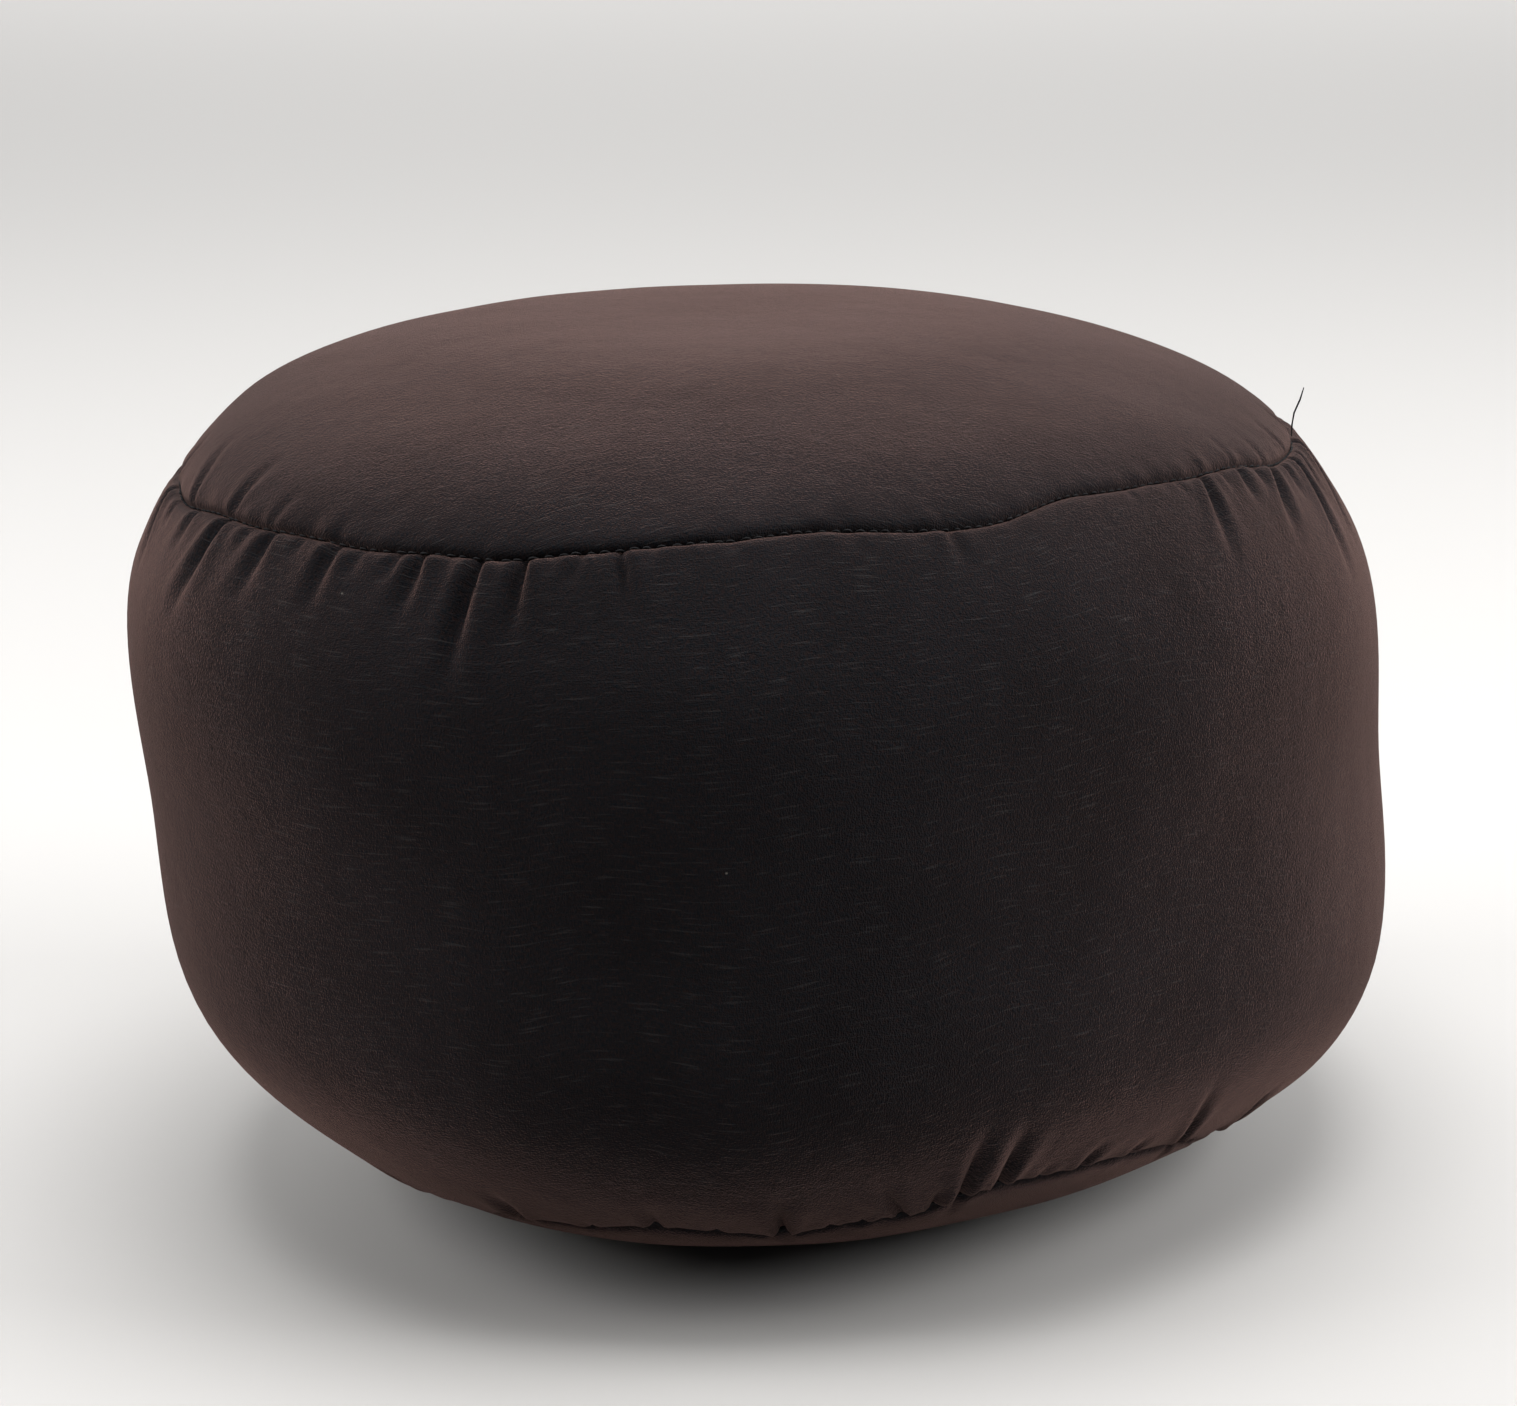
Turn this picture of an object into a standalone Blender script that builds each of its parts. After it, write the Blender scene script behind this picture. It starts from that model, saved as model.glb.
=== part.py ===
"""A zafu meditation cushion: a gathered side band full of kapok, between two rounds of cloth.

The origin is the middle of the face it rests on, the front faces -Y and Z points up. The cushion
is worked out as one skin, a profile carried round the upright axis. A place on the skin has a
turn, the angle from the front towards +X, and an arc, the length along the profile from the
middle of the base to the middle of the crown.
"""

from collections import namedtuple

import bpy
import numpy as np

# Sizes are in metres and angles in degrees, unless a name says otherwise.
COLUMNS = 120  # sections round the cushion, 3 degrees apart
SHEET = 0.002  # thickness of a panel, cloth and the filling caught in it
GAP = 0.0003  # clear space between two pieces
EDGE_GAP = 0.0004  # clear space between a panel's edge and the band
SEAM_DIP = 0.0015  # how far both seams are drawn in
SEAM_SPREAD = 0.006  # how far from the seam the cloth is drawn in
PUCKER = 0.003  # the first stretch of a gather, where it opens out of the seam
FLAT_EASE = 0.010  # height above the floor at which the filling's swells are whole
OVAL = 0.065  # the plan is this much longer one way, and shorter across
OVAL_TURN = -45.0  # the long way runs from the front left to the back right
LEAN = -0.083  # sideways lean for each metre of height, so that the top sits to the left

Ring = namedtuple("Ring", "name radius height")
PROFILE = (
    Ring("middle of the base", 0.000, 0.000),
    Ring("edge of the flat", 0.076, 0.000),
    Ring("bottom seam", 0.1275, 0.0235),
    Ring("low belly", 0.150, 0.049),
    Ring("belly", 0.1535, 0.104),
    Ring("shoulder", 0.150, 0.160),
    Ring("top seam", 0.1345, 0.183),
    Ring("middle of the crown's slope", 0.080, 0.207),
    Ring("middle of the crown", 0.000, 0.212),
)

# How far each seam strays along the skin from its ring, towards the crown, in millimetres.
Stray = namedtuple("Stray", "turn top_seam bottom_seam")
STRAYS = (
    Stray(-168, 1.0, -3.0),
    Stray(-140, -2.0, -6.0),
    Stray(-105, -7.0, -9.0),
    Stray(-72, -8.0, -14.0),
    Stray(-48, -4.0, -12.0),
    Stray(-24, -3.0, -5.0),
    Stray(-15, 0.0, 0.0),
    Stray(-3, 4.0, -6.0),
    Stray(9, 5.5, 0.0),
    Stray(21, 2.5, 11.0),
    Stray(39, 7.0, 9.0),
    Stray(57, 4.0, -3.0),
    Stray(84, -4.0, -9.0),
    Stray(120, -2.0, -4.0),
    Stray(150, 3.0, 1.0),
)

# The main gathers of the band: a trough's turn, a whole column, then its depth and its reach from
# the seam in millimetres.
Gather = namedtuple("Gather", "turn depth reach")
TOP_GATHERS = (
    Gather(-75, 3.0, 20),
    Gather(-54, 3.2, 26),
    Gather(-48, 2.8, 20),
    Gather(-39, 3.0, 18),
    Gather(-30, 3.4, 20),
    Gather(-24, 4.0, 30),
    Gather(-18, 3.2, 20),
    Gather(-12, 2.6, 18),
    Gather(-6, 1.2, 10),
    Gather(21, 1.2, 14),
    Gather(57, 2.6, 24),
    Gather(66, 2.4, 14),
    Gather(72, 3.0, 22),
    Gather(81, 3.4, 30),
    Gather(90, 3.2, 26),
    Gather(102, 2.6, 20),
    Gather(111, 3.4, 28),
    Gather(123, 2.4, 18),
    Gather(138, 3.0, 24),
    Gather(147, 2.6, 16),
    Gather(162, 3.2, 26),
    Gather(174, 2.4, 16),
    Gather(186, 3.4, 24),
    Gather(195, 2.6, 20),
    Gather(210, 3.0, 26),
    Gather(219, 2.6, 18),
    Gather(234, 3.4, 28),
    Gather(243, 2.8, 18),
    Gather(255, 3.0, 24),
    Gather(267, 3.2, 22),
    Gather(276, 2.6, 18),
)
BOTTOM_GATHERS = (
    Gather(-78, 2.6, 20),
    Gather(-63, 3.0, 26),
    Gather(-45, 2.6, 18),
    Gather(-30, 2.4, 20),
    Gather(-15, 2.2, 18),
    Gather(-3, 3.0, 26),
    Gather(9, 2.6, 22),
    Gather(15, 3.4, 30),
    Gather(21, 3.4, 28),
    Gather(30, 2.4, 16),
    Gather(45, 2.6, 28),
    Gather(60, 2.8, 22),
    Gather(75, 2.4, 18),
    Gather(90, 3.0, 26),
    Gather(105, 2.6, 20),
    Gather(123, 3.0, 24),
    Gather(141, 2.6, 18),
    Gather(156, 3.2, 26),
    Gather(174, 2.6, 20),
    Gather(192, 3.0, 24),
    Gather(207, 2.6, 18),
    Gather(225, 3.0, 26),
    Gather(240, 2.6, 20),
    Gather(258, 2.8, 22),
)

# Broad swells and hollows of the filling: where they are, how high, and how far they spread.
Swell = namedtuple("Swell", "turn height rise turn_spread height_spread")
SWELLS = (
    Swell(84, 0.030, 0.0045, 32, 0.022),
    Swell(-40, 0.018, 0.0015, 34, 0.022),
    Swell(62, 0.150, 0.0020, 22, 0.040),
    Swell(-60, 0.070, -0.0015, 30, 0.030),
    Swell(150, 0.090, 0.0025, 30, 0.050),
    Swell(-140, 0.120, 0.0020, 28, 0.045),
    Swell(-115, 0.198, 0.0030, 34, 0.014),
)

# Rows of the mesh. Those of a panel and of the gathers are distances from their seam. Between the
# gathers, the belly's rows are shares of the way from one seam to the other.
CROWN_ROWS = (SEAM_SPREAD, 0.028, 0.070)
BASE_SHARES = (0.5, 1.0)  # shares of the way from SEAM_SPREAD to the edge of the flat
GATHER_ROWS = (0.004, 0.010, 0.018, 0.028)
BELLY_SHARES = (0.235, 0.33, 0.45, 0.60, 0.73)

MM = 0.001
TURNS = np.linspace(-180, 180, COLUMNS, endpoint=False)


def profile_points():
    """The profile's rings as (radius, height), with one more past each middle, and their arcs."""
    rings = [(ring.radius, ring.height) for ring in PROFILE]
    before, after = rings[1], rings[-2]
    points = np.array([(-before[0], before[1]), *rings, (-after[0], after[1])])
    steps = np.hypot(*np.diff(points, axis=0).T)
    arcs = np.concatenate([[0], np.cumsum(steps)]) - steps[0]
    return points, arcs


POINTS, ARCS = profile_points()
RING_ARCS = dict(zip((ring.name for ring in PROFILE), ARCS[1:-1]))
FLAT_ARC = RING_ARCS["edge of the flat"]
CROWN_ARC = RING_ARCS["middle of the crown"]
SEAM_ARCS = {"top_seam": RING_ARCS["top seam"], "bottom_seam": RING_ARCS["bottom seam"]}


def profile(arc):
    """The profile's radius and height at each arc, and its outward normal: a smooth curve
    through the rings, which leaves each one along the line between its two neighbours."""
    slopes = np.gradient(POINTS, ARCS, axis=0)
    before = np.clip(np.searchsorted(ARCS, arc, side="right") - 1, 1, len(ARCS) - 3)
    span = (ARCS[before + 1] - ARCS[before])[..., None]
    u = (arc - ARCS[before])[..., None] / span
    start, end = POINTS[before], POINTS[before + 1]
    leave, arrive = slopes[before] * span, slopes[before + 1] * span
    place = (
        (2 * u**3 - 3 * u**2 + 1) * start
        + (u**3 - 2 * u**2 + u) * leave
        + (3 * u**2 - 2 * u**3) * end
        + (u**3 - u**2) * arrive
    )
    heading = (
        (6 * u**2 - 6 * u) * (start - end)
        + (3 * u**2 - 4 * u + 1) * leave
        + (3 * u**2 - 2 * u) * arrive
    )
    heading[place[..., 1] <= 0] = (1, 0)
    heading /= np.linalg.norm(heading, axis=-1, keepdims=True)
    return place[..., 0], np.maximum(place[..., 1], 0), heading[..., 1], -heading[..., 0]


def around(turn, rows, column):
    """A value at each turn, eased between the rows of a table that closes on itself."""
    turns = np.array([row.turn for row in rows], float)
    values = np.array([getattr(row, column) for row in rows], float)
    turns = np.concatenate([turns, turns[:1] + 360])
    values = np.concatenate([values, values[:1]])
    turn = (turn - turns[0]) % 360 + turns[0]
    before = np.clip(np.searchsorted(turns, turn, side="right") - 1, 0, len(turns) - 2)
    share = (turn - turns[before]) / (turns[before + 1] - turns[before])
    share = share * share * (3 - 2 * share)
    return values[before] + (values[before + 1] - values[before]) * share


def apart(turn, centre):
    """The angle from centre to each turn, between -180 and 180."""
    return (turn - centre + 180) % 360 - 180


def seam(name):
    """The arc of a seam in each column."""
    return SEAM_ARCS[name] + around(TURNS, STRAYS, name) * MM


def dip(distance):
    """How far the cloth is drawn in, in each column, at a distance from its seam."""
    return np.full(COLUMNS, SEAM_DIP * max(0, 1 - distance / SEAM_SPREAD))


def gathered(gathers, distance):
    """How deep the gathers are in each column, at a distance from their seam: a trough opens out
    of the seam, is deepest at PUCKER and fades at its reach."""
    depth = np.zeros(COLUMNS)
    for gather in gathers:
        trough = np.maximum(0, 1 - abs(apart(TURNS, gather.turn)) / (360 / COLUMNS))
        fade = np.clip(1 - (distance - PUCKER) / (gather.reach * MM), 0, 1)
        depth += gather.depth * MM * trough * fade * np.clip(distance / PUCKER, 0, 1)
    return depth


def swollen(turn, height):
    """How far the filling pushes the cloth out. The face that it rests on stays flat."""
    out = np.zeros_like(height)
    for swell in SWELLS:
        sideways = (apart(turn, swell.turn) / swell.turn_spread) ** 2
        upwards = ((height - swell.height) / swell.height_spread) ** 2
        out += swell.rise * np.exp(-sideways - upwards)
    return out * np.clip(height / FLAT_EASE, 0, 1)


def place(arc, depth):
    """Points on the skin, one in each column, or depth beneath it. A ring of the profile is
    stretched to the oval plan, and then leans."""
    radius, height, across, upright = profile(arc)
    out = swollen(TURNS, height) - depth
    radius = radius + across * out
    height = height + upright * out
    radius = radius * (1 + OVAL * np.cos(2 * np.radians(TURNS - OVAL_TURN)))
    turn = np.radians(TURNS)
    return np.stack([radius * np.sin(turn) + LEAN * height, -radius * np.cos(turn), height], 1)


def pole(arc, depth):
    """The point of the skin, or depth beneath it, on the upright axis."""
    return place(np.full(COLUMNS, arc), np.full(COLUMNS, depth)).mean(axis=0)


def loft(name, rings, first=None, last=None):
    """An object whose quads join each ring to the next one up. Its ends close on the poles first
    and last where they are given. The rings have unlike sections, so this is a loft by hand."""
    points = list(np.concatenate(rings))
    faces = []
    column = np.arange(COLUMNS)
    following = (column + 1) % COLUMNS
    for row in range(len(rings) - 1):
        low, high = row * COLUMNS, (row + 1) * COLUMNS
        faces += np.stack([low + column, low + following, high + following, high + column], 1).tolist()
    if first is not None:
        faces += [(len(points), b, a) for a, b in zip(column.tolist(), following.tolist())]
        points.append(first)
    if last is not None:
        top = (len(rings) - 1) * COLUMNS
        faces += [(len(points), top + a, top + b) for a, b in zip(column.tolist(), following.tolist())]
        points.append(last)
    mesh = bpy.data.meshes.new(name)
    mesh.from_pydata([tuple(map(float, point)) for point in points], [], faces)
    mesh.shade_smooth()
    piece = bpy.data.objects.new(name, mesh)
    collection.objects.link(piece)
    return piece


def finish(piece, colour, roughness):
    """A plain Principled material of the piece's own."""
    material = bpy.data.materials.new(piece.name)
    material.use_nodes = True
    shader = material.node_tree.nodes["Principled BSDF"]
    shader.inputs["Base Color"].default_value = (*colour, 1)
    shader.inputs["Roughness"].default_value = roughness
    shader.inputs["Metallic"].default_value = 0
    piece.data.materials.append(material)


def thicken(piece):
    """Gives an open sheet its thickness, on the inner side."""
    solidify = piece.modifiers.new("Cloth", "SOLIDIFY")
    solidify.thickness = SHEET
    solidify.offset = -1
    solidify.use_even_offset = True


def crown_rings(under):
    """The rings of the top panel inside its edge, or of a surface under it, going up."""
    return [place(seam("top_seam") + row, under + dip(row)) for row in CROWN_ROWS]


def base_rings(under):
    """The rings of the bottom panel inside its edge, or of a surface under it, going up."""
    outer = seam("bottom_seam") - SEAM_SPREAD
    arcs = [outer + share * (FLAT_ARC - outer) for share in BASE_SHARES]
    return [place(arc, np.full(COLUMNS, under)) for arc in (*arcs[::-1], outer)]


def top_panel():
    """The upper round: a crowned sheet that ends at the top seam."""
    rings = [place(seam("top_seam"), dip(0)), *crown_rings(0)]
    piece = loft("top_panel", rings, last=pole(CROWN_ARC, 0))
    thicken(piece)
    return piece


def bottom_panel():
    """The lower round: a sheet that is flat in the middle, where the cushion rests."""
    rings = [*base_rings(0), place(seam("bottom_seam"), dip(0))]
    piece = loft("bottom_panel", rings, first=pole(0, 0))
    thicken(piece)
    return piece


def side_band():
    """The gathered band with the filling it holds: one solid, crowned above and below, which
    stays clear of the two panels that cover its ends."""
    low, high = seam("bottom_seam") + EDGE_GAP, seam("top_seam") - EDGE_GAP
    under = SHEET + GAP
    rings = [*base_rings(under), place(low, under + dip(-EDGE_GAP)), place(low, dip(EDGE_GAP))]
    for row in GATHER_ROWS:
        rings.append(place(low + row, dip(row) + gathered(BOTTOM_GATHERS, row)))
    for share in BELLY_SHARES:
        rings.append(place(low + share * (high - low), np.zeros(COLUMNS)))
    for row in GATHER_ROWS[::-1]:
        rings.append(place(high - row, dip(row) + gathered(TOP_GATHERS, row)))
    rings += [place(high, dip(EDGE_GAP)), place(high, under + dip(-EDGE_GAP)), *crown_rings(under)]
    return loft("side_band", rings, first=pole(0, under), last=pole(CROWN_ARC, under))


for existing in list(bpy.data.objects):
    bpy.data.objects.remove(existing, do_unlink=True)
collection = bpy.data.collections.new("Zafu meditation cushion")
bpy.context.scene.collection.children.link(collection)

finish(side_band(), (0.052, 0.036, 0.033), 0.92)
finish(top_panel(), (0.060, 0.041, 0.037), 0.92)
finish(bottom_panel(), (0.050, 0.034, 0.031), 0.92)
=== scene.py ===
"""The looks of a zafu meditation cushion: two rounds of cotton cloth and a gathered side band.

A place on its skin has a turn, the angle in degrees from the front towards +X, and an arc, the
length in metres along an upright profile from the middle of the base to the middle of the crown.
"""

from math import radians

import bpy
import numpy as np
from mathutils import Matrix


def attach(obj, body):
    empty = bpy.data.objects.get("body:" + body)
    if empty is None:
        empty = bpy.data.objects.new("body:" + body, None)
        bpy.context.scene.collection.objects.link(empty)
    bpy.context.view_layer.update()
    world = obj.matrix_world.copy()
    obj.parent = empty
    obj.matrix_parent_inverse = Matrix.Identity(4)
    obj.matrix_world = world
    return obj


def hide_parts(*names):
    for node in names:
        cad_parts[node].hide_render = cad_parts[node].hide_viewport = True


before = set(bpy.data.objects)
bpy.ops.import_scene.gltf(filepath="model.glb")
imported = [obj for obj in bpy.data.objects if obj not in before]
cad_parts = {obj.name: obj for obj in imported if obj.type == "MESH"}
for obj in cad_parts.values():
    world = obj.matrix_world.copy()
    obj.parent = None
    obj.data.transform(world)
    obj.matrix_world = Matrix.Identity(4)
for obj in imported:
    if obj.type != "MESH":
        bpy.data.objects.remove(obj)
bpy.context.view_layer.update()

# Camera: level with the crown and a little more, in front of the cushion and slightly to its left,
# looking down at it.
CAMERA_HEIGHT = 0.357
CAMERA_BACK = 0.887
CAMERA_SIDE = -0.0127
LOOK_DOWN = 15.42

camera_data = bpy.data.cameras.new("camera")
camera_data.sensor_width = 36
camera_data.lens = 85.4
camera = bpy.data.objects.new("camera", camera_data)
camera.location = (CAMERA_SIDE, -CAMERA_BACK, CAMERA_HEIGHT)
camera.rotation_euler = (radians(90 - LOOK_DOWN), 0, 0)
bpy.context.scene.collection.objects.link(camera)
bpy.context.scene.camera = camera


# Side band: one long strip of plain cotton, gathered and sewn onto both rounds and stuffed tight.
# Its gathers crowd at the left and right, and the front is nearly smooth. The stuffed form goes on
# under the rounds, so that it is one closed body.
OVAL, OVAL_TURN = 0.065, -45.0  # how far from round the plan is, and its long way
LEAN = -0.083  # sideways lean for each metre of height
FLAT_EASE = 0.010  # height above the floor at which the filling's swells are whole
CROWN_EASE = 0.07  # radius at which they are whole again round the middle of the crown
BAND_RADIUS = 0.155  # of the strip when it is laid out round the cushion
UNDER = 0.0012  # how far the stuffed form lies under the rounds
BAND_ROWS = 88
COLUMNS = 720
TURNS = np.linspace(-180, 180, COLUMNS, endpoint=False)
PROFILE = np.array(
    [  # radius and height of each ring
        (0.0000, 0.0000),  # middle of the base
        (0.0760, 0.0000),  # edge of the flat
        (0.1275, 0.0235),  # bottom seam
        (0.1500, 0.0490),  # low belly
        (0.1535, 0.1040),  # belly
        (0.1500, 0.1600),  # shoulder
        (0.1345, 0.1830),  # top seam
        (0.0800, 0.2070),  # middle of the crown's slope
        (0.0000, 0.2120),  # middle of the crown
    ]
)
POINTS = np.vstack([PROFILE[1] * (-1, 1), PROFILE, PROFILE[-2] * (-1, 1)])
STEPS = np.hypot(*np.diff(POINTS, axis=0).T)
ARCS = np.concatenate([[0], np.cumsum(STEPS)]) - STEPS[0]
FLAT_ARC, BOTTOM_ARC, TOP_ARC, CROWN_ARC = ARCS[2], ARCS[3], ARCS[7], ARCS[9]
STRAYS = {  # turn: how far the top and the bottom seam stray towards the crown there, in mm
    -168: (1.0, -3.0),
    -140: (-2.0, -6.0),
    -105: (-7.0, -9.0),
    -72: (-8.0, -14.0),
    -48: (-4.0, -12.0),
    -24: (-3.0, -5.0),
    -15: (0.0, 0.0),
    -3: (4.0, -6.0),
    9: (5.5, 0.0),
    21: (2.5, 11.0),
    39: (7.0, 9.0),
    57: (4.0, -3.0),
    84: (-4.0, -9.0),
    120: (-2.0, -4.0),
    150: (3.0, 1.0),
}
SWELLS = (  # turn, height, rise, spread in degrees, spread in height
    (84, 0.030, 0.0045, 32, 0.022),
    (-40, 0.018, 0.0015, 34, 0.022),
    (62, 0.150, 0.0020, 22, 0.040),
    (-60, 0.070, -0.0015, 30, 0.030),
    (150, 0.090, 0.0025, 30, 0.050),
    (-140, 0.120, 0.0020, 28, 0.045),
    (-115, 0.198, 0.0030, 34, 0.014),
    (-20, 0.140, -0.0010, 14, 0.020),
    (18, 0.085, 0.0010, 16, 0.030),
)
TOP_GATHERS = (  # turn at the seam, depth and reach in mm, turn gained by its foot, width in mm
    (-85, 2.2, 16, 2.0, 2.0),
    (-75, 2.8, 20, 4.0, 2.2),
    (-69, 1.2, 8, 1.0, 1.6),
    (-62, 1.5, 12, 0.5, 1.8),
    (-55, 2.8, 26, -1.5, 2.2),
    (-50.5, 1.2, 8, 0.0, 1.6),
    (-47, 2.4, 19, -0.3, 2.2),
    (-43, 1.0, 7, 0.0, 1.5),
    (-38.7, 2.4, 17, -0.4, 2.0),
    (-35.6, 1.4, 8, -0.5, 1.5),
    (-32, 1.4, 8, 0.0, 1.5),
    (-29.5, 3.0, 17, -0.5, 1.9),
    (-27, 0.9, 6, 0.0, 1.4),
    (-24, 3.8, 31, -1.2, 2.0),
    (-20, 3.2, 20, -0.2, 1.9),
    (-17.4, 0.9, 6, 0.0, 1.4),
    (-15, 1.6, 9, -0.6, 1.5),
    (-11.5, 2.2, 17, 1.0, 1.8),
    (-8.6, 0.7, 5, 0.0, 1.4),
    (-5.8, 1.1, 9, 0.3, 1.7),
    (-1.5, 0.5, 5, 0.0, 1.4),
    (4.0, 0.4, 5, 0.0, 1.5),
    (12.5, 0.4, 5, 0.0, 1.6),
    (20.5, 1.1, 12, 0.4, 2.0),
    (31, 0.3, 5, 0.0, 1.6),
    (45, 0.5, 6, 0.0, 1.6),
    (53, 0.8, 7, 0.0, 1.6),
    (58, 2.4, 24, -5.0, 2.0),
    (62, 1.0, 8, -1.0, 1.5),
    (66, 2.0, 12, -2.5, 1.8),
    (69.5, 1.4, 9, -1.5, 1.5),
    (73, 2.8, 22, -6.5, 2.0),
    (77.5, 1.6, 12, -2.5, 1.6),
    (82, 3.2, 31, -7.0, 2.1),
    (87, 1.8, 14, -4.0, 1.7),
    (92.5, 3.2, 28, -9.0, 2.1),
    (98, 1.6, 12, -1.0, 1.7),
    (103, 2.8, 22, -1.0, 2.0),
    (112, 3.0, 28, 1.0, 2.1),
    (118, 1.4, 10, 0.0, 1.7),
    (124, 2.4, 18, 0.5, 1.9),
    (133, 1.2, 9, 0.0, 1.7),
    (139, 2.8, 24, -1.0, 2.1),
    (148, 2.4, 17, 0.0, 1.9),
    (155, 1.2, 10, 0.5, 1.7),
    (163, 2.9, 26, 1.5, 2.1),
    (174, 2.2, 16, 0.0, 1.9),
    (181, 1.2, 9, 0.0, 1.6),
    (187, 3.0, 24, -1.0, 2.1),
    (196, 2.4, 20, 0.0, 1.9),
    (203, 1.2, 10, 0.5, 1.7),
    (211, 2.8, 26, 1.5, 2.1),
    (220, 2.4, 18, 0.0, 1.9),
    (227, 1.3, 10, 0.0, 1.6),
    (235, 3.0, 28, -1.0, 2.1),
    (244, 2.4, 18, 0.0, 1.9),
    (255, 2.8, 24, 1.0, 2.0),
    (261, 1.4, 10, 0.0, 1.7),
    (267, 2.8, 22, -0.5, 2.0),
)
BOTTOM_GATHERS = (
    (-78, 2.2, 20, 1.0, 2.2),
    (-63, 2.6, 26, -1.0, 2.2),
    (-52, 1.4, 12, 0.0, 1.8),
    (-45, 2.2, 18, 0.0, 2.0),
    (-30, 2.2, 20, 1.0, 2.0),
    (-22, 1.0, 8, 0.0, 1.6),
    (-15, 1.8, 18, 1.5, 2.0),
    (-9, 0.8, 8, 0.0, 1.6),
    (-2.5, 3.0, 27, 0.5, 1.9),
    (2.5, 1.0, 8, 0.5, 1.5),
    (6.0, 0.9, 7, 0.0, 1.5),
    (10.5, 2.2, 24, -3.5, 1.9),
    (13.5, 2.0, 13, 0.0, 1.7),
    (16.0, 3.4, 30, 1.0, 2.0),
    (20.0, 3.2, 26, 1.0, 2.0),
    (25, 1.0, 9, 0.5, 1.6),
    (30.0, 1.8, 13, 1.5, 1.9),
    (37, 1.2, 10, 1.0, 1.7),
    (46, 2.2, 28, -1.5, 2.1),
    (60, 2.4, 22, 0.0, 2.1),
    (75, 2.2, 18, 0.0, 2.0),
    (90, 2.8, 26, -1.0, 2.1),
    (105, 2.2, 20, 0.0, 2.0),
    (123, 2.6, 24, 1.0, 2.1),
    (141, 2.2, 18, 0.0, 2.0),
    (156, 2.8, 26, -1.0, 2.1),
    (174, 2.2, 20, 0.0, 2.0),
    (192, 2.6, 24, 1.0, 2.1),
    (207, 2.2, 18, 0.0, 2.0),
    (225, 2.6, 26, -1.0, 2.1),
    (240, 2.2, 20, 0.0, 2.0),
    (258, 2.4, 22, 1.0, 2.1),
)


def profile(arc):
    """Radius, height and outward normal at each arc: a smooth curve through the rings, which
    leaves each ring along the line between its two neighbours."""
    slopes = np.gradient(POINTS, ARCS, axis=0)
    before = np.clip(np.searchsorted(ARCS, arc, side="right") - 1, 1, len(ARCS) - 3)
    span = (ARCS[before + 1] - ARCS[before])[..., None]
    u = (arc - ARCS[before])[..., None] / span
    start, end = POINTS[before], POINTS[before + 1]
    leave, arrive = slopes[before] * span, slopes[before + 1] * span
    spot = (2 * u**3 - 3 * u**2 + 1) * start + (u**3 - 2 * u**2 + u) * leave
    spot += (3 * u**2 - 2 * u**3) * end + (u**3 - u**2) * arrive
    heading = (6 * u**2 - 6 * u) * (start - end)
    heading += (3 * u**2 - 4 * u + 1) * leave + (3 * u**2 - 2 * u) * arrive
    heading[spot[..., 1] <= 0] = (1, 0)
    heading /= np.linalg.norm(heading, axis=-1, keepdims=True)
    return spot[..., 0], np.maximum(spot[..., 1], 0), heading[..., 1], -heading[..., 0]


def apart(turn, centre):
    """The angle from centre to each turn, between -180 and 180."""
    return (turn - centre + 180) % 360 - 180


def stray(turn, which):
    """The seam's stray at each turn, in metres, eased from one row of STRAYS to the next."""
    turns = np.array([*STRAYS, min(STRAYS) + 360], float)
    values = np.array([row[which] for row in STRAYS.values()])
    values = np.append(values, values[0])
    turn = (turn - turns[0]) % 360 + turns[0]
    before = np.clip(np.searchsorted(turns, turn, side="right") - 1, 0, len(turns) - 2)
    share = (turn - turns[before]) / (turns[before + 1] - turns[before])
    share = share * share * (3 - 2 * share)
    return (values[before] + (values[before + 1] - values[before]) * share) / 1000


def seam_arc(turn, which):
    """Where the top seam, which 0, or the bottom seam, which 1, lies on the skin."""
    hand = 0.0004 * np.sin(np.radians(turn * 23 + 40 * which))  # the hand that guided it
    return (TOP_ARC + 0.0006, BOTTOM_ARC - 0.0006)[which] + stray(turn, which) + hand


def swollen(turn, height):
    """How far the filling pushes the cloth out: a sum of round swells, none on the flat."""
    out = np.zeros_like(height)
    for centre, level, rise, turn_spread, height_spread in SWELLS:
        sideways = (apart(turn, centre) / turn_spread) ** 2
        out += rise * np.exp(-sideways - ((height - level) / height_spread) ** 2)
    return out * np.clip(height / FLAT_EASE, 0, 1)


def skin(turn, arc, out):
    """Points of the skin: the profile's ring, moved out along its normal, stretched to the oval
    plan and leaned sideways in step with its height."""
    radius, height, across, upright = profile(arc)
    push = swollen(turn, height) * np.clip(radius / CROWN_EASE, 0, 1) ** 2 + out
    radius = (radius + across * push) * (1 + OVAL * np.cos(2 * np.radians(turn - OVAL_TURN)))
    height = height + upright * push
    angle = np.radians(turn)
    return np.stack([radius * np.sin(angle) + LEAN * height, -radius * np.cos(angle), height], -1)


def valley(distance):
    """How far the cloth turns in at its seam: steeply in the last 2 mm, on a wider gentle dip."""
    near = np.maximum(distance, 0)
    return 0.0019 * np.exp(-((near / 0.0010) ** 1.1)) + 0.0005 * np.exp(-near / 0.006)


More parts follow.
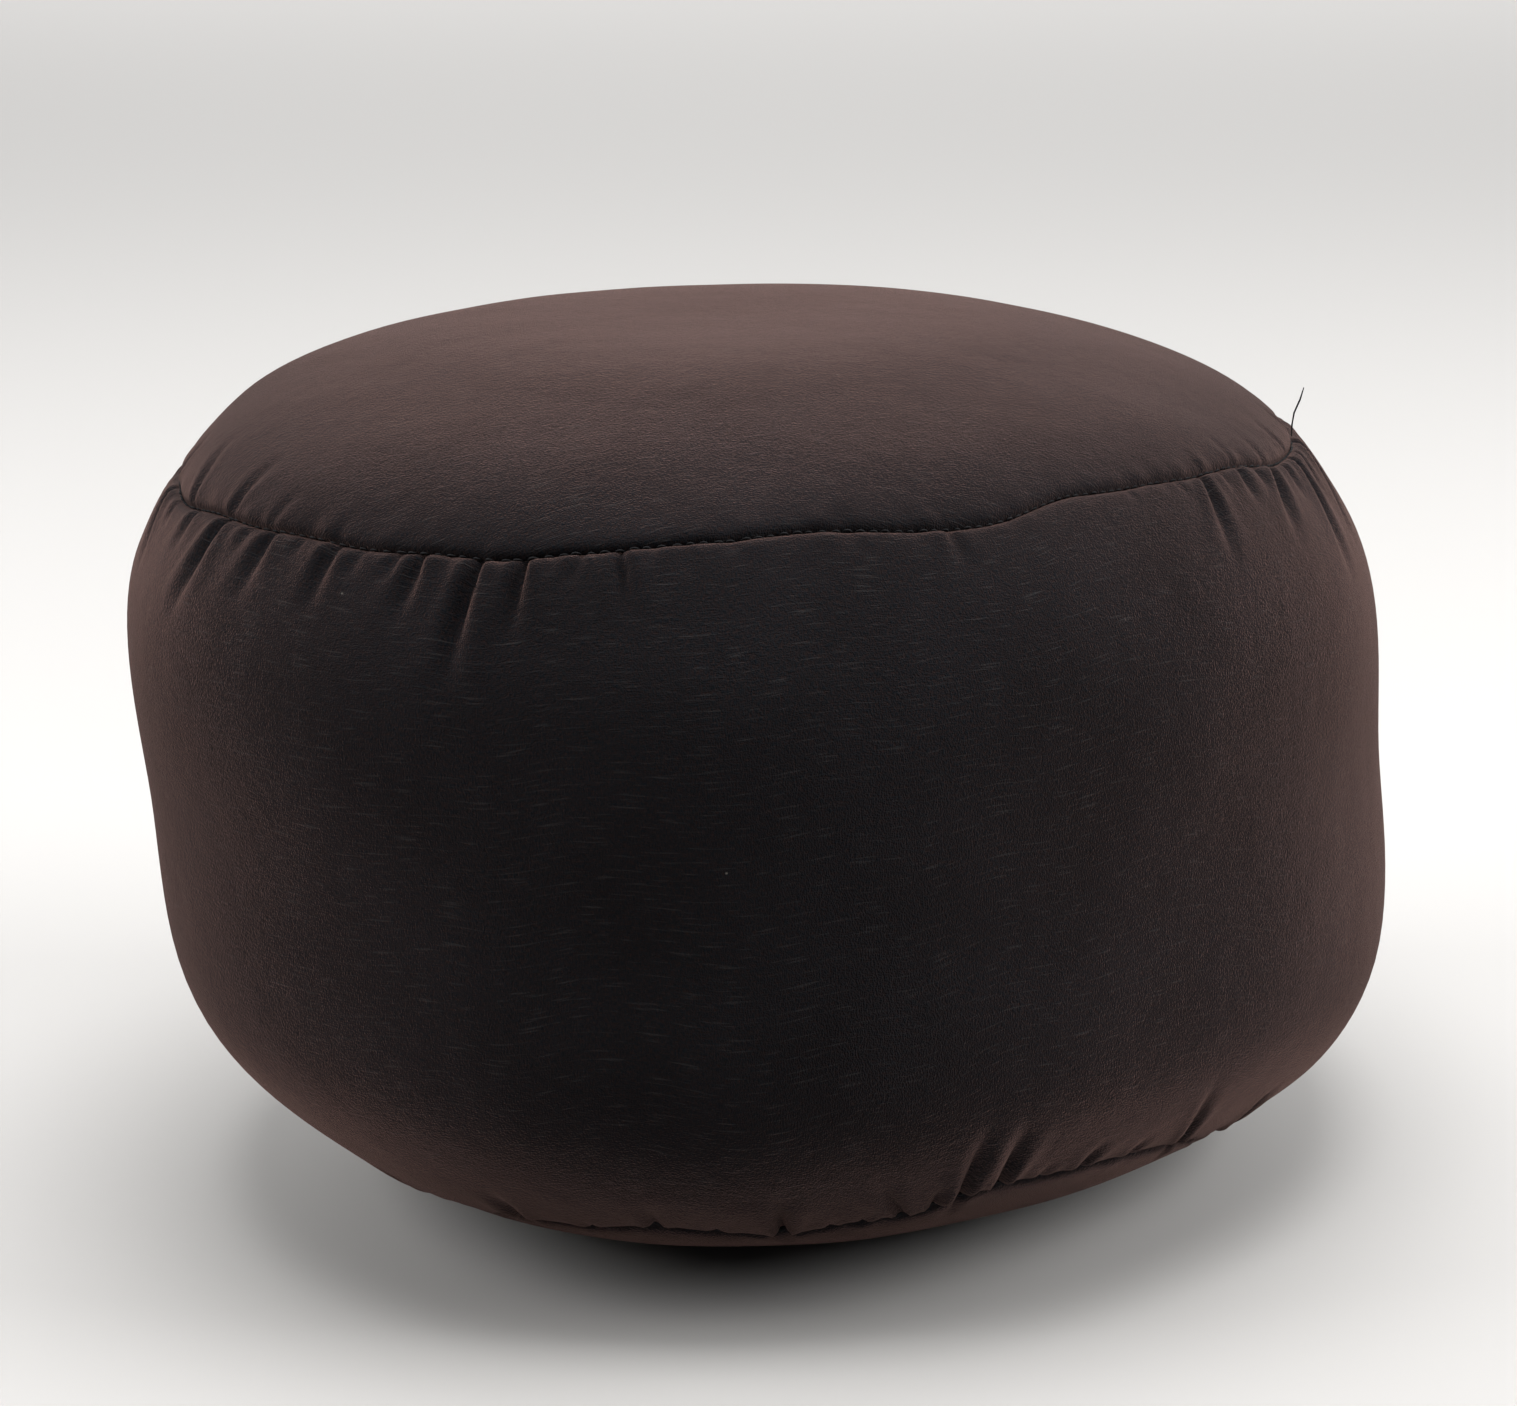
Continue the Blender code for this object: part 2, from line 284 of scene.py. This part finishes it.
def gathers(rows, turn, distance):
    """The relief of the gathers: depth * opening * fading * (0.30 puff - trough), a narrow trough
    that opens out of the seam, drifts sideways and fades at its reach, puffed up on both sides."""
    mm_in_a_degree = 2.4
    relief = np.zeros(np.broadcast(turn, distance).shape)
    for centre, depth, reach, drift, width in rows:
        along = distance * 1000 / reach
        sideways = apart(turn, centre + drift * np.clip(along, 0, 1)) * mm_in_a_degree
        open_out = 1 - np.exp(-distance * 1000 / 1.1)
        fade = np.clip(1.05 - along, 0, 1) ** 1.05
        spread = width * (0.42 + 0.60 * np.clip(along, 0, 1))
        trough = np.exp(-(abs(sideways / spread) ** 1.35))
        puff = np.exp(-(((abs(sideways) - 2.6 * spread) / (1.7 * spread)) ** 2))
        relief += 1.2 * depth / 1000 * open_out * fade * (0.30 * puff - trough)
    return relief


def ruffle(turn, distance, seed):
    """Small puckers between the stitches: two ripples along the seam, uneven in strength, highest
    2 mm from it and gone at 8 mm."""
    ripple = np.sin(np.radians(turn * 61 + seed)) + 0.8 * np.sin(np.radians(turn * 97 + 3 * seed))
    ripple = ripple * (0.6 + 0.4 * np.sin(np.radians(turn * 7 + seed)))
    return 0.00022 * ripple * np.exp(-((distance - 0.0022) / 0.003) ** 2)


def sagging(turn, arc):
    """The broad unevenness of the stuffing under the cloth: the sum of four slow waves, each of
    which winds round and up the skin, eased away at the middle of the crown and of the base."""
    a, s = np.radians(turn), arc / CROWN_ARC * 6.28
    waves = np.sin(3 * a + 1.3 * s) + 0.7 * np.sin(5 * a - 2.1 * s + 1)
    waves += 0.45 * np.sin(9 * a + 3.4 * s + 2) + 0.3 * np.sin(14 * a - 4.2 * s)
    return 0.00055 * waves * np.clip(profile(arc)[0] / 0.13, 0, 1) ** 3


def closed_rings(name, rings, first=None, last=None):
    """A mesh whose quads join each ring of points to the next, with a fan to the pole at the end
    where one is given."""
    grid = np.stack(rings)
    rows, count = grid.shape[:2]
    points = grid.reshape(-1, 3)
    index = np.arange(rows * count).reshape(rows, count)
    low, high = index[:-1], index[1:]
    turned = np.roll(index, -1, axis=1)
    quads = np.stack([low, turned[:-1], turned[1:], high], -1).reshape(-1, 4)
    faces = quads.tolist()
    if first is not None:
        faces += [(len(points), b, a) for a, b in zip(index[0].tolist(), turned[0].tolist())]
        points = np.vstack([points, first])
    if last is not None:
        faces += [(len(points), a, b) for a, b in zip(index[-1].tolist(), turned[-1].tolist())]
        points = np.vstack([points, last])
    mesh = bpy.data.meshes.new(name)
    mesh.from_pydata(points.tolist(), [], faces)
    mesh.shade_smooth()
    piece = bpy.data.objects.new(name, mesh)
    bpy.context.scene.collection.objects.link(piece)
    return piece


def give_uv(piece, rings_uv, rows, strip=0.0):
    """Writes a UV map in metres of cloth, one pair for each point of the mesh, so that the weave
    follows the cut of the cloth. A strip that is closed to a ring has its length added at the end
    of each row."""
    mesh = piece.data
    corner = np.empty(len(mesh.loops), np.int64)
    mesh.loops.foreach_get("vertex_index", corner)
    uv = rings_uv[corner]
    row_ends = 4 * (np.arange(1, rows) * COLUMNS - 1)
    uv[row_ends + 1, 0] += strip
    uv[row_ends + 2, 0] += strip
    layer = mesh.uv_layers.new(name="cloth")
    layer.data.foreach_set("uv", uv.astype(np.float32).ravel())



def band_ring(share):
    """The band's points at this share of the way from the bottom seam, 0, to the top seam, 1:
    the sagging, less the valleys, with the gathers and the ruffles of both seams added."""
    low, high = seam_arc(TURNS, 1), seam_arc(TURNS, 0)
    arc = low + share * (high - low)
    below, above = arc - low, high - arc
    out = sagging(TURNS, arc) * np.clip(below / 0.02, 0, 1) * np.clip(above / 0.02, 0, 1)
    out = out - valley(below) - valley(above)
    out = out + gathers(BOTTOM_GATHERS, TURNS, below) + gathers(TOP_GATHERS, TURNS, above)
    out = out + ruffle(TURNS, below, 50) + ruffle(TURNS, above, 10)
    return skin(TURNS, arc, out)


def seam_spacing(rows):
    """Shares from 0 to 1 that crowd towards both ends, where the cloth is gathered."""
    crowd = 2.4
    even = np.linspace(-1, 1, rows)
    return 0.5 + 0.5 * np.tanh(crowd * even) / np.tanh(crowd)


band_rings = [band_ring(share) for share in seam_spacing(BAND_ROWS)]
low_edge, high_edge = seam_arc(TURNS, 1), seam_arc(TURNS, 0)
under_rings = []
for share in (0.0, 0.5, 0.9):
    arc = FLAT_ARC * 0.5 + share * (low_edge - FLAT_ARC * 0.5)
    under_rings.append(skin(TURNS, arc, np.full(COLUMNS, -UNDER)))
over_rings = []
for share in (0.1, 0.5, 0.8):
    arc = high_edge + share * (CROWN_ARC - high_edge)
    over_rings.append(skin(TURNS, arc, np.full(COLUMNS, -UNDER)))
base_pole = skin(np.zeros(1), np.zeros(1), np.full(1, -UNDER))
crown_pole = skin(np.zeros(1), np.full(1, CROWN_ARC), np.full(1, -UNDER))
side_band = closed_rings(
    "side_band_cloth", under_rings + band_rings + over_rings, first=base_pole, last=crown_pole
)
ring_count = len(under_rings) + len(band_rings) + len(over_rings)
band_width = seam_spacing(BAND_ROWS) * (TOP_ARC - BOTTOM_ARC)
lengths = np.concatenate([[-0.03, -0.02, -0.01], band_width, [0.18, 0.19, 0.2]])
cloth_round = np.radians(TURNS) * BAND_RADIUS
band_uv = np.stack(np.broadcast_arrays(cloth_round[None, :], lengths[:, None]), -1).reshape(-1, 2)
band_uv = np.vstack([band_uv, [(0, -0.04), (0, 0.21)]])
give_uv(side_band, band_uv, ring_count, 2 * np.pi * BAND_RADIUS)


class Socket:
    """A shader value that adds its own Math node for each operator used on it."""

    def __init__(self, nodes, socket):
        self.nodes, self.socket = nodes, socket

    def maths(self, operation, *others):
        return self.nodes.add("ShaderNodeMath", {"operation": operation}, [self, *others])

    def __add__(self, other):
        return self.maths("ADD", other)

    def __mul__(self, other):
        return self.maths("MULTIPLY", other)

    def __sub__(self, other):
        return self.maths("SUBTRACT", other)

    def __rsub__(self, other):
        return Socket(self.nodes, other).maths("SUBTRACT", self)

    __radd__, __rmul__ = __add__, __mul__


class Nodes:
    """The node tree of one material, with a method that adds any node."""

    def __init__(self, name):
        self.material = bpy.data.materials.new(name)
        self.material.use_nodes = True
        self.tree = self.material.node_tree
        self.shader = self.tree.nodes["Principled BSDF"]

    def add(self, kind, settings=None, inputs=(), output=0):
        """A node of this kind, its settings set first and then its sockets, by place or name."""
        node = self.tree.nodes.new(kind)
        for key, value in (settings or {}).items():
            if key == "stops":
                self.set_stops(node.color_ramp, value)
            else:
                setattr(node, key, value)
        pairs = inputs.items() if isinstance(inputs, dict) else enumerate(inputs)
        for key, value in pairs:
            self.join(node.inputs[key], value)
        return Socket(self, node.outputs[output])

    def set_stops(self, ramp, stops):
        while len(ramp.elements) > len(stops):
            ramp.elements.remove(ramp.elements[-1])
        while len(ramp.elements) < len(stops):
            ramp.elements.new(1)
        for element, (position, colour) in zip(ramp.elements, stops):
            element.position = position
            element.color = (*colour, 1)

    def join(self, target, value):
        value = value.socket if isinstance(value, Socket) else value
        if isinstance(value, bpy.types.NodeSocket):
            self.tree.links.new(value, target)
        else:
            target.default_value = value

    def blend(self, factor, first, second, how="MIX"):
        """Colours mixed through one Mix node."""
        settings = {"data_type": "RGBA", "blend_type": how}
        return self.add("ShaderNodeMix", settings, {0: factor, 6: first, 7: second}, 2)


def cotton(name, warp, weft, dark, seed):
    """Plain cotton whose brown and slate threads change the colour from patch to patch: threads
    0.35 mm apart, slubs along the weft, a soft nap that shows at grazing angles, and lint."""
    n = Nodes(name)
    cloth = n.add("ShaderNodeUVMap", {"uv_map": "cloth"})
    place = n.add("ShaderNodeTexCoord", {}, (), 3)
    long_threads = n.add("ShaderNodeMapping", {}, {0: cloth, 1: (seed, 0, 0), 3: (700, 2900, 1)})
    tall_threads = n.add("ShaderNodeMapping", {}, {0: cloth, 1: (0, seed, 0), 3: (2900, 900, 1)})
    weft_tone = n.add("ShaderNodeTexNoise", {}, {"Vector": long_threads, "Scale": 1.0, "Detail": 1.0})
    warp_tone = n.add("ShaderNodeTexNoise", {}, {"Vector": tall_threads, "Scale": 1.0, "Detail": 1.0})
    slub_map = n.add("ShaderNodeMapping", {}, {0: cloth, 1: (0, seed, 0), 3: (120, 1700, 1)})
    slub = n.add("ShaderNodeTexNoise", {}, {"Vector": slub_map, "Scale": 1.0, "Detail": 1.0})
    slubs = n.add("ShaderNodeValToRGB", {"stops": [(0.60, (0, 0, 0)), (0.74, (1, 1, 1))]}, [slub])
    worn = n.add("ShaderNodeTexNoise", {}, {"Vector": place, "Scale": 11.0, "Detail": 5.0})
    patch = n.add("ShaderNodeTexNoise", {}, {"Vector": place, "Scale": 42.0, "Detail": 4.0})
    nap = n.add("ShaderNodeTexNoise", {}, {"Vector": place, "Scale": 2600.0, "Detail": 1.0})
    lint = n.add("ShaderNodeTexVoronoi", {}, {"Vector": place, "Scale": 46.0, "Randomness": 1.0})
    fleck = n.add("ShaderNodeValToRGB", {"stops": [(0.0, (1, 1, 1)), (0.016, (0, 0, 0))]}, [lint])
    mixed = n.blend(weft_tone * 2.4 - 0.7, warp, weft)
    mixed = n.blend(warp_tone * 2.0 - 0.55, mixed, dark)
    shade = worn * 0.7 + patch * 0.6 + nap * 1.0 - 0.15
    grey = n.add("ShaderNodeCombineColor", {}, [shade, shade, shade])
    mixed = n.blend(1.0, mixed, grey, "MULTIPLY")
    mixed = n.blend(slubs * 0.20, mixed, (0.060, 0.058, 0.058, 1))
    mixed = n.blend(fleck * 0.6, mixed, (0.30, 0.28, 0.25, 1))
    relief = weft_tone + warp_tone + slubs * 0.25 + nap * 1.2
    bump = n.add(
        "ShaderNodeBump", {}, {"Strength": 0.6, "Distance": 0.0004, "Height": relief}
    )
    crumple = n.add("ShaderNodeTexNoise", {}, {"Vector": place, "Scale": 70.0, "Detail": 4.0})
    soft = n.add(
        "ShaderNodeBump",
        {},
        {"Strength": 0.30, "Distance": 0.0018, "Height": crumple, "Normal": bump},
    )
    n.join(n.shader.inputs["Base Color"], mixed)
    n.join(n.shader.inputs["Roughness"], 0.98 - weft_tone * 0.12)
    n.join(n.shader.inputs["Normal"], soft)
    n.shader.inputs["Specular IOR Level"].default_value = 0.06
    n.shader.inputs["Sheen Weight"].default_value = 0.62
    n.shader.inputs["Sheen Roughness"].default_value = 0.36
    n.shader.inputs["Sheen Tint"].default_value = (0.42, 0.24, 0.20, 1)
    return n.material


WARP, WEFT, SLATE = (0.015, 0.008, 0.007, 1), (0.007, 0.007, 0.008, 1), (0.0015, 0.0045, 0.007, 1)
side_band.data.materials.append(cotton("band cotton", WARP, WEFT, SLATE, 0.0))
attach(side_band, "root")
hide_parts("side_band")


# Top panel: a round of the same cotton, stretched over the crown of the filling. Its edge is
# turned in and sewn to the band, and it is pulled into a few short puckers at the left and right.
PANEL_ROWS = 48
PANEL_RADIUS = 0.15
CLOTH = 0.0009  # thickness of the cotton
TOP_PUCKERS = (  # as the band's gathers, measured in from the seam
    (-84, 1.2, 12, 1.0, 1.8),
    (-76, 1.8, 15, -1.5, 1.9),
    (-64, 2.2, 20, -4.0, 2.0),
    (-55, 1.9, 19, 0.5, 1.9),
    (-48, 1.3, 11, 1.0, 1.8),
    (-39, 0.7, 8, 0.0, 1.7),
    (-24, 0.6, 7, 0.0, 1.7),
    (-11, 0.5, 6, 0.0, 1.7),
    (20, 0.5, 7, 0.0, 1.8),
    (59, 0.8, 8, 0.0, 1.7),
    (66, 1.0, 10, 1.0, 1.7),
    (73, 1.1, 10, 1.0, 1.7),
    (82, 1.3, 13, 1.0, 1.8),
    (93, 1.4, 13, 1.0, 1.8),
    (104, 1.0, 10, 0.0, 1.8),
    (126, 1.3, 12, 0.0, 1.8),
    (149, 1.0, 9, 0.0, 1.8),
    (172, 1.4, 14, 1.0, 1.9),
    (198, 1.0, 10, 0.0, 1.8),
    (222, 1.3, 13, -1.0, 1.8),
    (246, 1.0, 10, 0.0, 1.8),
    (264, 1.3, 12, 0.0, 1.8),
)


def round_uv(shares, centre):
    """A UV map in metres for a flat round of cloth, its middle at centre."""
    angle = np.radians(TURNS)
    radius = (1 - shares)[:, None] * PANEL_RADIUS
    flat = np.stack([centre + radius * np.sin(angle), -radius * np.cos(angle)], -1)
    return np.vstack([flat.reshape(-1, 2), [(centre, 0)]])


def panel(name, pucker_rows, which, seed):
    """One round: rings from its seam to its middle that crowd towards the seam, with the valley,
    puckers and ruffles at the edge, thickened inwards."""
    edge = seam_arc(TURNS, which)
    middle = (CROWN_ARC, 0.0)[which]
    shares = np.linspace(0, 1, PANEL_ROWS, endpoint=False) ** 2.1
    rings = []
    for share in shares:
        arc = edge + share * (middle - edge)
        inside = abs(arc - edge)
        fade = np.clip(inside / 0.02, 0, 1) * np.clip(profile(arc)[1] / FLAT_EASE, 0, 1)
        out = sagging(TURNS, arc) * fade - valley(inside)
        out = out + 0.7 * gathers(pucker_rows, TURNS, inside) + ruffle(TURNS, inside, seed)
        rings.append(skin(TURNS, arc, out))
    pole = skin(np.zeros(1), np.full(1, middle), np.zeros(1))
    piece = closed_rings(name, rings, last=pole)
    give_uv(piece, round_uv(shares, 0.6 + which), len(shares))
    if which:
        piece.data.flip_normals()
    solid = piece.modifiers.new("cloth", "SOLIDIFY")
    solid.thickness = CLOTH
    solid.offset = -1
    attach(piece, "root")
    return piece


panel_cotton = cotton("panel cotton", WARP, WEFT, SLATE, 3.7)
top_panel = panel("top_panel_cloth", TOP_PUCKERS, 0, 25)
top_panel.data.materials.append(panel_cotton)
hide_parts("top_panel")


# Bottom panel: the other round. The cushion's weight presses its middle flat on the floor.
BOTTOM_PUCKERS = (
    (-60, 1.0, 12, 0.0, 1.9),
    (-30, 0.8, 10, 0.0, 1.9),
    (-2, 1.0, 10, 0.0, 1.8),
    (16, 1.2, 12, 0.0, 1.8),
    (46, 0.9, 10, 0.0, 1.8),
    (90, 1.0, 12, 0.0, 1.9),
    (124, 0.8, 10, 0.0, 1.9),
    (157, 1.0, 12, 0.0, 1.9),
    (192, 0.8, 10, 0.0, 1.9),
    (226, 1.0, 12, 0.0, 1.9),
    (258, 0.8, 10, 0.0, 1.9),
)
bottom_panel = panel("bottom_panel_cloth", BOTTOM_PUCKERS, 1, 70)
bottom_panel.data.materials.append(panel_cotton)
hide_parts("bottom_panel")


# Seam stitching: black cotton thread, sewn by machine and a little uneven. It shows as short
# stitches down in the seam, and one end was left untrimmed at the right.
THREAD = 0.00045  # thickness of the thread
STITCH = 0.0030  # length of a stitch with its gap
STITCH_SIDES = 6
STITCH_DEPTH = 0.0016  # how far down in the seam's valley they lie
SEAM_RADIUS = 0.134
END_TURN = 93.0  # where the loose end leaves the top seam
LOOSE_END = np.array(  # its way from there, sideways, back and up
    [(0, 0, 0), (0.0, 0, 0.003), (0.0004, 0, 0.006), (0.0018, 0, 0.0095), (0.0026, 0, 0.0125)]
)


def tubes(name, lines, thickness):
    """One mesh of many short tubes: each line's points are ringed by a small polygon, and both
    its ends are closed."""
    points, faces = [], []
    angles = np.linspace(0, 2 * np.pi, STITCH_SIDES, endpoint=False)
    for line in lines:
        line = np.asarray(line)
        ahead = np.gradient(line, axis=0)
        ahead /= np.linalg.norm(ahead, axis=1, keepdims=True)
        side = np.cross(ahead, (0.31, 0.2, 0.93))
        side /= np.linalg.norm(side, axis=1, keepdims=True)
        other = np.cross(ahead, side)
        ring = side[:, None] * np.cos(angles)[:, None] + other[:, None] * np.sin(angles)[:, None]
        taper = np.ones(len(line))
        taper[[0, -1]] = 0.55
        body = line[:, None] + ring * (thickness / 2 * taper)[:, None, None]
        index = len(points) + np.arange(body[..., 0].size).reshape(len(line), -1)
        turned = np.roll(index, -1, axis=1)
        quads = np.stack([index[:-1], turned[:-1], turned[1:], index[1:]], -1)
        points += body.reshape(-1, 3).tolist()
        faces += quads.reshape(-1, 4).tolist()
        faces += [index[0][::-1].tolist(), index[-1].tolist()]
    mesh = bpy.data.meshes.new(name)
    mesh.from_pydata(points, [], faces)
    mesh.shade_smooth()
    piece = bpy.data.objects.new(name, mesh)
    bpy.context.scene.collection.objects.link(piece)
    return piece


def seam_line(turn, which, out):
    """Points along a seam, a little out of the bottom of its valley."""
    turn = np.asarray(turn, float)
    return skin(turn, seam_arc(turn, which), out)


def stitches(which):
    """The stitches of a seam: short arches of thread, each a little off the line and unequal."""
    lines = []
    count = int(round(2 * np.pi * SEAM_RADIUS / STITCH))
    rng = np.random.default_rng(5 + which)
    for number in range(count):
        start = -180 + 360 * (number + rng.uniform(-0.1, 0.1)) / count
        turn = start + np.linspace(0, 360 / count * rng.uniform(0.62, 0.86), 5)
        arch = np.array([-0.0007, -0.0001, 0.0001, -0.0001, -0.0007])
        lines.append(seam_line(turn, which, arch - STITCH_DEPTH + rng.uniform(-0.0002, 0.0002)))
    return lines


thread = Nodes("black thread")
thread.shader.inputs["Base Color"].default_value = (0.006, 0.006, 0.007, 1)
thread.shader.inputs["Specular IOR Level"].default_value = 0.2
twist = thread.add("ShaderNodeTexCoord", {}, (), 3)
strand = thread.add("ShaderNodeTexNoise", {}, {"Vector": twist, "Scale": 1800.0})
thread.join(thread.shader.inputs["Roughness"], strand * 0.3 + 0.6)

loose_start = seam_line(np.array([END_TURN]), 0, np.array([-0.0008]))[0]
top_lines = stitches(0) + [loose_start + LOOSE_END]
for name, lines in (("top_seam_stitches", top_lines), ("bottom_seam_stitches", stitches(1))):
    sewn = tubes(name, lines, THREAD)
    sewn.data.materials.append(thread.material)
    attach(sewn, "root")


# Floor and light: a plain pale floor that runs on behind, a broad soft light behind the cushion,
# one above it and one at each side, so that its front is in shade.
FLOOR_REACH = 6.0
FLOOR_DROP = 0.0002  # just clear of the cloth's flat middle
corners = np.array([(-1, -1, 0), (1, -1, 0), (1, 1, 0), (-1, 1, 0)]) * FLOOR_REACH
floor_mesh = bpy.data.meshes.new("floor")
floor_mesh.from_pydata((corners - (0, 0, FLOOR_DROP)).tolist(), [], [(0, 1, 2, 3)])
floor = bpy.data.objects.new("floor", floor_mesh)
bpy.context.scene.collection.objects.link(floor)
pale = Nodes("pale floor")
pale.shader.inputs["Base Color"].default_value = (0.46, 0.45, 0.44, 1)
pale.shader.inputs["Roughness"].default_value = 0.75
pale.shader.inputs["Specular IOR Level"].default_value = 0.2
floor.data.materials.append(pale.material)

LIGHTS = (  # name, place, width and height, watts
    ("back light", (0.2, 4.3, 2.4), (8.4, 4.4), 300),
    ("top light", (0.0, -0.1, 1.9), (1.4, 1.2), 40),
    ("right light", (1.8, -0.15, 1.1), (1.2, 1.2), 46),
    ("left light", (-1.8, -0.15, 1.1), (1.2, 1.2), 34),
)
for name, spot, size, watts in LIGHTS:
    lamp = bpy.data.lights.new(name, "AREA")
    lamp.shape = "RECTANGLE"
    lamp.size, lamp.size_y = size
    lamp.energy = watts
    holder = bpy.data.objects.new(name, lamp)
    holder.location = spot
    aim = np.array(spot) - (0, 0, 0.1)
    holder.rotation_mode = "XYZ"
    flat = np.hypot(aim[0], aim[1])
    holder.rotation_euler = (np.arctan2(flat, aim[2]), 0, np.arctan2(aim[1], aim[0]) + np.pi / 2)
    bpy.context.scene.collection.objects.link(holder)

world = bpy.data.worlds.new("room")
world.use_nodes = True
world.node_tree.nodes["Background"].inputs["Color"].default_value = (1.0, 0.99, 0.97, 1)
world.node_tree.nodes["Background"].inputs["Strength"].default_value = 0.05
bpy.context.scene.world = world
bpy.context.scene.view_settings.view_transform = "Standard"
